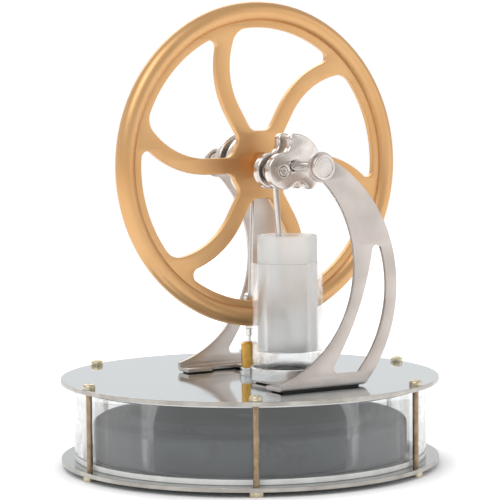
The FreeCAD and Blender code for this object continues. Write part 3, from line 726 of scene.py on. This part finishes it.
def bracketMesh():
    b = sheetMetal
    bottom, thickness = low("bracket").z, b["thickness"]
    frontY, backY = low("bracket").y, high("bracket").y
    left, right = -b["halfWidth"], b["halfWidth"]
    overFoot = deckZ - bottom  # heights over the top plate become heights over the bracket's underside
    mid = bottom + thickness / 2
    bendRadius = b["innerBend"] + thickness / 2
    bendLength = bendRadius * math.pi / 2
    foot = thickness / 2 + bendRadius  # height of the bend's end over the underside
    frontBend = frontY + thickness / 2 + bendRadius
    backBend = backY - thickness / 2 - bendRadius

    def unfold(x, z, bendAt, sign):  # a point of an arm in the flat pattern, z above the bracket's underside
        d = bendLength * z / foot if z < foot else bendLength + z - foot
        return Vector((x, bendAt + sign * d))

    axle = axleZ - bottom
    toe, neck = Vector((left, b["toeHeight"])), onCircle((0, axle), b["headRadius"], b["neckAngle"])
    brow, heel = onCircle((0, axle), b["headRadius"], b["browAngle"]), Vector((right, 0))
    inner = Vector((b["innerBulge"][0], b["innerBulge"][1] + overFoot))
    outer = Vector((b["outerBulge"][0], b["outerBulge"][1] + overFoot))
    innerCentre, _ = throughThree(toe, inner, neck)
    outerCentre, _ = throughThree(brow, outer, heel)
    armEdge = (arcPoints(innerCentre, toe, neck, 0.6) + arcPoints((0, axle), neck, brow, 0.3, True)[1:]
               + arcPoints(outerCentre, brow, heel, 0.6)[1:])

    slotLow, slotHigh = b["slotFoot"], axle - b["slotTop"]
    lowerLeft, lowerRight = Vector((b["slotLeft"], slotLow)), Vector((b["slotRight"], slotLow))
    apex = Vector((b["slotApex"], slotHigh))
    c1, r1 = throughThree(lowerLeft, (b["slotInner"][0], b["slotInner"][1] + overFoot), apex)
    c2, r2 = throughThree(apex, (b["slotOuter"][0], b["slotOuter"][1] + overFoot), lowerRight)
    f = b["slotCorner"]
    footLeft = lineMeetsCircle((0, slotLow + f), (1, 0), c1, r1 + f, lowerLeft)
    footRight = lineMeetsCircle((0, slotLow + f), (1, 0), c2, r2 - f, lowerRight)
    top = circlesMeet(c1, r1 + f, c2, r2 - f, apex)

    slotEdge = (arcPoints(c1, touch(c1, r1, footLeft), touch(c1, r1, top), 0.6)
                + arcPoints(top, touch(c1, r1, top), touch(c2, r2, top), 0.2)[1:]
                + arcPoints(c2, touch(c2, r2, top), touch(c2, r2, footRight), 0.6)[1:]
                + arcPoints(footRight, touch(c2, r2, footRight), Vector((footRight.x, slotLow)), 0.2)[1:]
                + arcPoints(footLeft, Vector((footLeft.x, slotLow)), touch(c1, r1, footLeft), 0.2)[:-1])
    hole = ringPoints((0, axle), b["holeRadius"], 48)

    def placed(points, bendAt, sign):
        return [unfold(p.x, p.y, bendAt, sign) for p in points]

    collar = high("cylinder_collar").x
    waist = -collar + b["waist"]
    backTab, backNeck = backY - b["backTab"], backY - b["backNeck"]
    frontTab = frontY + b["frontTab"]
    outline = placed(armEdge, frontBend, -1)  # toe to heel of the front arm
    outline += placed(armEdge[::-1], backBend, 1)  # heel to toe of the back arm
    tab = ((left, backTab), (b["stepFrom"], backTab), (b["stepTo"], backNeck), (b["notchRight"], backNeck),
           (b["notchRight"], cylinderY + collar), (waist, cylinderY + b["waistBack"]),
           (waist, cylinderY - b["waistFront"]), (waist - b["waist"], frontTab), (left, frontTab))
    outline += [Vector(p) for p in tab]
    spigot = ringPoints((0, cylinderY), b["spigotHole"], 48)
    openings = [placed(slotEdge, frontBend, -1), placed(slotEdge, backBend, 1),
                placed(hole, frontBend, -1), placed(hole, backBend, 1), spigot]
    flat = flatPlate([outline] + openings, thickness, b["edge"], 2)
    shape = bmesh.new()
    shape.from_mesh(flat)
    bends = ((frontBend, -1), (backBend, 1))
    for bendAt, sign in bends:
        for k in range(9):  # cuts across the bend, so that it folds round
            everything = list(shape.verts) + list(shape.edges) + list(shape.faces)
            cutAt = (0, bendAt + sign * bendLength * k / 8, 0)
            bmesh.ops.bisect_plane(shape, geom=everything, plane_co=cutAt, plane_no=(0, 1, 0), dist=1e-4)
    for vert in shape.verts:
        x, y, w = vert.co
        for bendAt, sign in bends:
            d = (y - bendAt) * sign
            if d <= 0:
                continue
            angle = min(d / bendRadius, math.pi / 2)
            reach = bendRadius - w
            rise = max(d - bendLength, 0)
            vert.co = (x, bendAt + sign * reach * math.sin(angle),
                       mid + bendRadius - reach * math.cos(angle) + rise)
            break
        else:
            vert.co = (x, y, mid + w)
    bmesh.ops.remove_doubles(shape, verts=shape.verts, dist=1e-4)
    bmesh.ops.recalc_face_normals(shape, faces=shape.faces)
    shape.to_mesh(flat)
    shape.free()
    return flat


finishPiece("bracket_folded", bracketMesh(), "nickel_plate", "chassis", ["bracket"], (1, 2))
print("bracket folded")

# bearing housings
housing = {"flange": 3.2, "flangeLength": 1.0, "barrel": 2.85, "capSeat": 2.35, "cap": 2.33,
           "capDepth": 0.35, "passage": 1.45, "bore": 2.5, "lip": 0.9}
for side, sign in (("front", 1), ("back", -1)):
    node = side + "_bearing_housing"
    rim = low(node).y if sign > 0 else high(node).y
    end = high(node).y if sign > 0 else low(node).y
    length = abs(end - rim)
    h = housing
    lipStart = length - h["lip"]
    # heights run from the outer rim inwards, along the axle
    corners = [(h["capSeat"], h["capDepth"], 0), (h["capSeat"], 0, 0.06), (h["flange"], 0, 0.35),
               (h["flange"], h["flangeLength"], 0.05), (h["barrel"], h["flangeLength"], 0),
               (h["barrel"], length, 0.15), (h["passage"], length, 0.1), (h["passage"], lipStart, 0),
               (h["bore"], lipStart, 0), (h["bore"], h["capDepth"], 0)]
    profile = [(p.x, -sign * p.y) for p in rounded(corners, 4)]
    finishPiece(node + "_turned", turned(profile, (0, rim, axleZ), "Y", 72, True),
                "crank_steel", "chassis", [node], (1,))
    capProfile = [(p[0], -sign * p[1]) for p in solidRound(h["cap"], 0.04, h["capDepth"], 0.1, 3)]
    finishPiece(side + "_bearing_cap_pressed", turned(capProfile, (0, rim, axleZ), "Y", 72),
                "crank_steel", "chassis", [side + "_bearing_cap"], (1,))
print("bearing housings built")

# the power cylinder, its collar and the piston
cylinder = {"tube": 8.8, "bore": 7.48, "rim": 0.25, "collar": 9.4, "collarSeat": 8.86, "collarRecess": 0.9,
            "spigot": 5.5, "port": 3.5, "seal": 8.78, "piston": 7.45, "pistonBore": 6.65, "pistonFloor": 0.8}
cylinderFoot = (0, cylinderY, 0)
c = cylinder
collarLow = low("bracket").z + sheetMetal["thickness"]
spigotLow, collarHigh = heights("cylinder_collar")
seatLow = collarHigh - c["collarRecess"]
collarCorners = [(c["port"], spigotLow, 0), (c["spigot"], spigotLow, 0), (c["spigot"], collarLow, 0),
                 (c["collar"], collarLow, 0.12), (c["collar"], collarHigh, 0.2),
                 (c["collarSeat"], collarHigh, 0.05), (c["collarSeat"], seatLow, 0),
                 (c["port"], seatLow, 0.1)]
finishPiece("cylinder_collar_turned",
            turned(rounded(collarCorners, 4), cylinderFoot, steps=128, closed=True),
            "turned_steel", "chassis", ["cylinder_collar"], (2,))
sealProfile = tubeRound(c["seal"], c["port"], *heights("cylinder_seal"), 0.15, 3)
finishPiece("cylinder_seal_ring", turned(sealProfile, cylinderFoot, steps=96, closed=True),
            "black_gasket", "chassis", ["cylinder_seal"], (2,))
tubeProfile = tubeRound(c["tube"], c["bore"], *heights("power_cylinder"), c["rim"], 5)
finishPiece("power_cylinder_glass", turned(tubeProfile, cylinderFoot, steps=128, closed=True),
            "clear_glass", "chassis", ["power_cylinder"], (2,))
pistonLow, pistonHigh = heights("power_piston")
pistonCorners = [(0, pistonLow, 0), (c["piston"], pistonLow, 0.45), (c["piston"], pistonHigh, 0.15),
                 (c["pistonBore"], pistonHigh, 0.15), (c["pistonBore"], pistonLow + c["pistonFloor"], 0.3),
                 (0, pistonLow + c["pistonFloor"], 0)]
finishPiece("power_piston_ground", turned(rounded(pistonCorners, 4), cylinderFoot, steps=128),
            "frosted_glass", "power_piston", ["power_piston"], (2,))
print("cylinder and piston built")

# cranks, pins and shafts
crank = {"throw": 3.3, "powerAngle": 202.6, "lobe": 4.5, "weight": 8.0, "halfAngle": 74.0, "tip": 0.5,
         "waist": 2.4, "corner": 1.5, "edge": 0.55, "bore": 1.2, "journal": 1.0, "pinCentre": 0.62,
         "centreDepth": 0.12, "bush": 1.75, "bushBore": 1.25}


def webOutline():
    c = crank
    lobeCentre = Vector((c["throw"], 0))
    half = math.radians(c["halfAngle"])
    along = Vector((-math.cos(half), math.sin(half)))
    out = Vector((along.y, -along.x))
    tip = Vector((c["tip"], 0))
    waist = lineMeetsCircle(tip + out * c["waist"], along, lobeCentre, c["lobe"] + c["waist"], (2, 5))
    corner = lineMeetsCircle(tip - out * c["corner"], along, (0, 0), c["weight"] - c["corner"], (-3, 7))
    lobeEnd = lobeCentre + (waist - lobeCentre).normalized() * c["lobe"]
    rimStart = corner.normalized() * c["weight"]
    upper = arcPoints(lobeCentre, lobeCentre + Vector((c["lobe"], 0)), lobeEnd, 0.3)
    upper += arcPoints(waist, lobeEnd, waist - out * c["waist"], 0.2)[1:]
    upper += arcPoints(corner, corner + out * c["corner"], rimStart, 0.2)
    upper += arcPoints((0, 0), rimStart, Vector((-c["weight"], 0)), 0.4)[1:]
    lower = [Vector((p.x, -p.y)) for p in upper[1:-1]]
    return upper + lower[::-1]


def webMesh(node, angle):
    holes = [ringPoints((0, 0), crank["bore"], 40), ringPoints((crank["throw"], 0), crank["bore"], 40)]
    width = high(node).y - low(node).y
    plate = flatPlate([webOutline()] + holes, width, crank["edge"], 4)
    return standUp(plate, middle(node).y, axleZ, angle)


def pinMesh(node, place):  # a pin with a shallow turned centre in each end
    pin, centre, depth = crank["bore"], crank["pinCentre"], crank["centreDepth"]
    length = high(node).y - low(node).y
    corners = [(0, depth, 0), (centre - depth, depth, 0.05), (centre, 0, 0.05), (pin, 0, 0.2),
               (pin, length, 0.2), (centre, length, 0.05), (centre - depth, length - depth, 0.05),
               (0, length - depth, 0)]
    return turned([(p.x, -p.y) for p in rounded(corners, 3)], (place.x, low(node).y, place.y), "Y", 48)


pinPlaces = {"power": onCircle((0, axleZ), crank["throw"], crank["powerAngle"]),
             "displacer": onCircle((0, axleZ), crank["throw"], crank["powerAngle"] + 90)}
rodBodies = {"power": "power_conrod", "displacer": "displacer_link"}
for which, angle in (("power", crank["powerAngle"]), ("displacer", crank["powerAngle"] + 90)):
    for end in ("front", "back"):
        node = which + "_" + end + "_web"
        finishPiece(node + "_cast", webMesh(node, angle), "crank_steel", "crankshaft", [node],
                    (1,))
    node = which + "_crank_pin"
    place = pinPlaces[which]
    finishPiece(node + "_turned", pinMesh(node, place), "polished_rod", "crankshaft", [node],
                (1,))
    node = which + "_big_end_bush"
    bushLength = high(node).y - low(node).y
    bushProfile = [(p[0], -p[1]) for p in tubeRound(crank["bush"], crank["bushBore"], 0, bushLength, 0.1, 3)]
    finishPiece(node + "_turned", turned(bushProfile, (place.x, low(node).y, place.y), "Y", 48, True),
                "dark_screw", rodBodies[which], [node], (1,))


def shaftPiece(node, *steps):  # steps are (radius, from, to) along the axle
    corners = [(0, steps[0][1], 0)]
    for radius, start, end in steps:
        corners += [(radius, start, 0.06), (radius, end, 0.06)]
    corners.append((0, steps[-1][2], 0))
    profile = [(p.x, -p.y) for p in rounded(corners, 3)]
    return finishPiece(node + "_ground", turned(profile, (0, 0, axleZ), "Y", 56),
                       "polished_rod", "crankshaft", [node], (1,))


frontJournal = high("front_bearing_inner_ring").y + 0.1
backJournal = low("back_bearing_inner_ring").y - 0.1
shaftPiece("front_shaft", (crank["journal"], low("front_shaft").y, frontJournal),
           (crank["bore"], frontJournal, high("front_shaft").y))
shaftPiece("main_shaft", (crank["bore"], low("main_shaft").y, high("main_shaft").y))
shaftPiece("back_shaft", (crank["bore"], low("back_shaft").y, backJournal),
           (crank["journal"], backJournal, high("back_shaft").y))
print("crankshaft built")

# connecting rod and displacer link
rods = {"power_conrod": {"width": 1.3, "small": 0.9, "bore": 0.52, "edge": 0.16},
        "displacer_link": {"width": 0.9, "small": 1.1, "bore": 0.52, "edge": 0.12},
        "big": 2.3, "bigBore": 1.76, "bigBlend": 1.2, "smallBlend": 0.6}


def rodMesh(node, pinPlace, footPlace):
    look = rods[node]
    length = (footPlace - pinPlace).length
    half = look["width"] / 2
    blend, smallBlend = rods["bigBlend"], rods["smallBlend"]
    big, small = rods["big"], look["small"]
    foot, lowest = Vector((0, -length)), Vector((0, -length - small))
    points = []
    for sideSign in (1, -1):  # right side going down, then left side going up
        alongBig = math.sqrt((big + blend) ** 2 - (half + blend) ** 2)
        bigBlend = Vector((sideSign * (half + blend), -alongBig))
        bigTouch = bigBlend.normalized() * big
        edge = [bigTouch] + arcPoints(bigBlend, bigTouch, Vector((sideSign * half, -alongBig)), 0.2)[1:]
        alongSmall = math.sqrt((small + smallBlend) ** 2 - (half + smallBlend) ** 2)
        centre = Vector((sideSign * (half + smallBlend), -length + alongSmall))
        edge += arcPoints(centre, Vector((sideSign * half, -length + alongSmall)),
                          touch(foot, small, centre), 0.15)
        if sideSign > 0:
            points += edge + arcPoints(foot, edge[-1], lowest, 0.15)[1:]
        else:
            points += arcPoints(foot, lowest, edge[-1], 0.15)[1:-1] + edge[::-1]
    points += arcPoints((0, 0), points[-1], Vector((0, big)), 0.2)[1:]
    points += arcPoints((0, 0), Vector((0, big)), points[0], 0.2)[1:-1]
    holes = [ringPoints((0, 0), rods["bigBore"], 48), ringPoints(foot, look["bore"], 24)]
    plate = flatPlate([points] + holes, high(node).y - low(node).y, look["edge"], 3)
    direction = footPlace - pinPlace
    lean = math.degrees(math.atan2(direction.x, -direction.y))
    return standUp(plate, middle(node).y, pinPlace.y, lean, pinPlace.x)


for which, rivet in (("power", "conrod_rivet"), ("displacer", "link_rivet")):
    node = rodBodies[which]
    footPlace = Vector((middle(rivet).x, middle(rivet).z))
    finishPiece(node + "_pressed", rodMesh(node, pinPlaces[which], footPlace),
                "polished_rod", node, [node], (1,))
print("rods built")

# the flywheel
wheel = {"radius": 41.0, "bead": 2.45, "spider": 37.0, "core": 8.6, "voidOuter": 34.5, "spokeWidth": 4.0,
         "firstAngle": 0.6, "spokes": 6, "straight": 15.6, "bend": 22.0, "hubFillet": 2.6,
         "tipFillet": 1.8, "wideFillet": 4.6, "edge": 0.22, "hub": 3.0, "grub": 0.82}


def voidOutline(angle):
    w = wheel
    half = w["spokeWidth"] / 2
    step = 360 / w["spokes"]
    lowerBend = Vector((w["straight"], -w["bend"]))
    upperBend = turnPoint(lowerBend, step)
    hubFillet, tip, wide = w["hubFillet"], w["tipFillet"], w["wideFillet"]
    hubReach = w["core"] + hubFillet
    a = Vector((math.sqrt(hubReach ** 2 - (half + hubFillet) ** 2), half + hubFillet))
    d = turnPoint((a.x, -a.y), step)
    outerReach = w["voidOuter"]
    # the tight corner is on the convex side of the lower spoke, the wide one on the hollow side of the upper
    lowerNear, upperNear = onCircle((0, 0), outerReach, 0), onCircle((0, 0), outerReach, 40)
    b = circlesMeet(lowerBend, w["bend"] + half + tip, (0, 0), outerReach - tip, lowerNear)
    c = circlesMeet(upperBend, w["bend"] - half - wide, (0, 0), outerReach - wide, upperNear)

    points = [Vector((a.x, half)), Vector((w["straight"], half))]
    lowerTouch, upperTouch = touch(lowerBend, w["bend"] + half, b), touch(upperBend, w["bend"] - half, c)
    points += arcPoints(lowerBend, points[-1], lowerTouch, 0.5)[1:]
    points += arcPoints(b, lowerTouch, touch((0, 0), outerReach, b), 0.3)[1:]
    points += arcPoints((0, 0), points[-1], touch((0, 0), outerReach, c), 0.5)[1:]
    points += arcPoints(c, points[-1], upperTouch, 0.25)[1:]
    upperStart = turnPoint((w["straight"], -half), step)
    points += arcPoints(upperBend, upperTouch, upperStart, 0.5)[1:]
    points += [turnPoint((a.x, -half), step)]
    points += arcPoints(d, points[-1], touch((0, 0), w["core"], d), 0.3)[1:]
    points += arcPoints((0, 0), points[-1], touch((0, 0), w["core"], a), 0.3)[1:]
    points += arcPoints(a, points[-1], points[0], 0.3)[1:-1]
    return [turnPoint(p, angle) for p in points]


def spiderMesh():
    w = wheel
    voids = [voidOutline(w["firstAngle"] + k * 360 / w["spokes"]) for k in range(w["spokes"])]
    thickness = high("flywheel_spider").y - low("flywheel_spider").y
    outlines = [ringPoints((0, 0), w["spider"], 256)] + voids + [ringPoints((0, 0), w["hub"] - 0.1, 64)]
    return standUp(flatPlate(outlines, thickness, w["edge"], 3), middle("flywheel_spider").y, axleZ)


finishPiece("flywheel_spider_cast", spiderMesh(), "bronze_wheel", "crankshaft", ["flywheel_spider"],
            (1,))
beadMesh = runTree(beadNodes, [(beadInputs["Wheel Radius"], wheel["radius"] - wheel["bead"]),
                               (beadInputs["Bead Radius"], wheel["bead"]),
                               (beadInputs["Finish"], materials["bronze_wheel"])])
beadMesh.transform(Matrix.Translation((0, middle("flywheel_spider").y, axleZ))
                   @ Matrix.Rotation(math.radians(90), 4, "X"))
finishPiece("flywheel_rim_turned", beadMesh, "bronze_wheel", "crankshaft", ["flywheel_rim"],
            (), 60)


def hubMesh():
    start, end = low("flywheel_hub").y, high("flywheel_hub").y
    bore, hub, grub = crank["bore"], wheel["hub"], wheel["grub"]
    corners = [(bore, start, 0.15), (hub, start, 0.35), (hub, end, 0.1), (bore, end, 0.1)]
    mesh = turned([(p.x, -p.y) for p in rounded(corners, 4)], (0, 0, axleZ), "Y", 72, True)
    holeProfile = [(0, axleZ + 1), (grub, axleZ + 1), (grub, axleZ + 5), (0, axleZ + 5)]
    return cutWith(mesh, turned(holeProfile, (0, middle("hub_grub_screw").y, 0), "Z", 32))


finishPiece("flywheel_hub_turned", hubMesh(), "bronze_wheel", "crankshaft", ["flywheel_hub"],
            (1,))
print("flywheel built")

# small CAD pieces kept as they are, with their own finishes
# the bracket gasket's black is painted shade: a thin dark sheet standing in for the contact shadow under the
# bracket's feet
keptFinishes = {"bracket_gasket": "black_gasket", "piston_lug": "turned_steel",
                "hub_grub_screw": "dark_screw", "conrod_rivet": "polished_rod",
                "link_rivet": "polished_rod", "rod_crosshead": "polished_rod"}
for side in ("front", "back"):
    keptFinishes[side + "_bearing_outer_ring"] = keptFinishes[side + "_bearing_inner_ring"] = "turned_steel"
    keptFinishes[side + "_bearing_balls"] = "polished_rod"
for node, finish in keptFinishes.items():
    kept = frame["nodes"][node]
    for place in kept.material_slots:
        place.material = materials[finish]
print("kept pieces finished:", len(keptFinishes))

# floor, light and camera
studio = {"floor": "#FFFFFF", "paper": "#FFFFFF", "backWall": 1.03, "backHigh": 0.82, "behindCamera": 0.56,
          "ceiling": 0.66, "floorSize": 60.0, "glowAroundPaintedShadow": 0.36, "key": 1.6, "fill": 0.6, "back": 1.6}
view = {"place": (-0.27892, -0.45195, 0.09379), "heading": -31.65, "pitch": -4.18, "roll": -0.488,
        "lens": 99.76, "sensor": 24}


def makeFloor():
    mesh = bpy.data.meshes.new("floor")
    size = studio["floorSize"]
    corners = [(-size, -size, 0), (size, -size, 0), (size, size, 0), (-size, size, 0)]
    mesh.from_pydata(corners, [], [(0, 1, 2, 3)])
    floor = bpy.data.objects.new("floor", mesh)
    bpy.context.collection.objects.link(floor)
    m, tree, shader = newMaterial("whitePaperSweep", studio["floor"], 0.9)
    shader.inputs["Specular IOR Level"].default_value = 0.1
    shader.inputs["Emission Color"].default_value = linearColour("#FFFFFF")
    where = metreCoordinates(tree)
    # the paper glows so the sweep stays white, and the glow fades to nothing between 56 and 45 mm from the
    # centre: a painted contact shadow round the engine's foot
    away = addNode(tree, "ShaderNodeVectorMath", {"operation": "LENGTH"}, {0: where}).outputs["Value"]
    glowAroundPaintedShadow = addNode(tree, "ShaderNodeMapRange", {"interpolation_type": "SMOOTHSTEP", "From Min": 0.045,
                        "From Max": 0.056, "To Min": 0.0, "To Max": studio["glowAroundPaintedShadow"]}, {"Value": away})
    tree.links.new(glowAroundPaintedShadow.outputs["Result"], shader.inputs["Emission Strength"])
    varyColour(tree, shader, grain(tree, where, 30, 2), "#FAFAFA", "#FFFFFF")
    mesh.materials.append(m)


def makeWorld():
    world = bpy.data.worlds.new("studio")
    world.use_nodes = True
    tree = world.node_tree
    tree.nodes["Background"].inputs["Color"].default_value = linearColour(studio["paper"])
    direction = addNode(tree, "ShaderNodeTexCoord").outputs["Generated"]
    parts = addNode(tree, "ShaderNodeSeparateXYZ", None, {"Vector": direction}).outputs
    # a bright strip of paper low behind the engine, a dimmer room behind the camera and a soft ceiling
    strip = addNode(tree, "ShaderNodeMapRange",
                    {"interpolation_type": "SMOOTHSTEP", "From Min": 0.05, "From Max": 0.11,
                     "To Min": studio["backWall"], "To Max": studio["backHigh"]}, {"Value": parts["Z"]})
    room = addNode(tree, "ShaderNodeMapRange",
                   {"interpolation_type": "SMOOTHSTEP", "From Min": -0.35, "From Max": 0.45,
                    "To Min": studio["behindCamera"]},
                   {"Value": parts["Y"], "To Max": strip.outputs["Result"]})
    overhead = addNode(tree, "ShaderNodeMapRange",
                       {"interpolation_type": "SMOOTHSTEP", "From Min": 0.25, "From Max": 0.8,
                        "To Min": 0.0, "To Max": 1.0}, {"Value": parts["Z"]})
    mixed = addNode(tree, "ShaderNodeMix", {"data_type": "FLOAT"}, {"Factor": overhead.outputs["Result"]})
    tree.links.new(room.outputs["Result"], mixed.inputs[2])
    mixed.inputs[3].default_value = studio["ceiling"]
    tree.links.new(mixed.outputs[0], tree.nodes["Background"].inputs["Strength"])
    bpy.context.scene.world = world


def softLight(name, place, target, size, power):
    data = bpy.data.lights.new(name, "AREA")
    data.shape = "RECTANGLE"
    data.size, data.size_y = size
    data.energy = power
    light = bpy.data.objects.new(name, data)
    light.location = place
    light.rotation_euler = (Vector(target) - Vector(place)).to_track_quat("-Z", "Y").to_euler()
    bpy.context.collection.objects.link(light)


makeFloor()
makeWorld()
centre = (0, 0, 0.06)
softLight("keyLight", (-0.45, -0.30, 0.60), centre, (0.5, 0.5), studio["key"])
softLight("fillLight", (0.55, -0.45, 0.30), centre, (0.5, 0.5), studio["fill"])
softLight("backLight", (0.15, 0.60, 0.50), centre, (0.7, 0.4), studio["back"])

cameraData = bpy.data.cameras.new("camera")
cameraData.sensor_fit = "VERTICAL"
cameraData.sensor_height = view["sensor"]
cameraData.lens = view["lens"]
cameraData.clip_start = 0.01
camera = bpy.data.objects.new("camera", cameraData)
heading, pitch, roll = (math.radians(a) for a in (view["heading"], 90 + view["pitch"], view["roll"]))
turn = Matrix.Rotation(heading, 4, "Z") @ Matrix.Rotation(pitch, 4, "X") @ Matrix.Rotation(roll, 4, "Z")
camera.matrix_world = Matrix.Translation(view["place"]) @ turn
bpy.context.collection.objects.link(camera)
bpy.context.scene.camera = camera
bpy.context.scene.view_settings.view_transform = "Standard"
print("stage set")

triangles = 0
for item in bpy.context.scene.objects:
    if item.type == "MESH" and not item.hide_render:
        triangles += sum(len(face.vertices) - 2 for face in item.data.polygons)
print("triangles shown:", triangles)
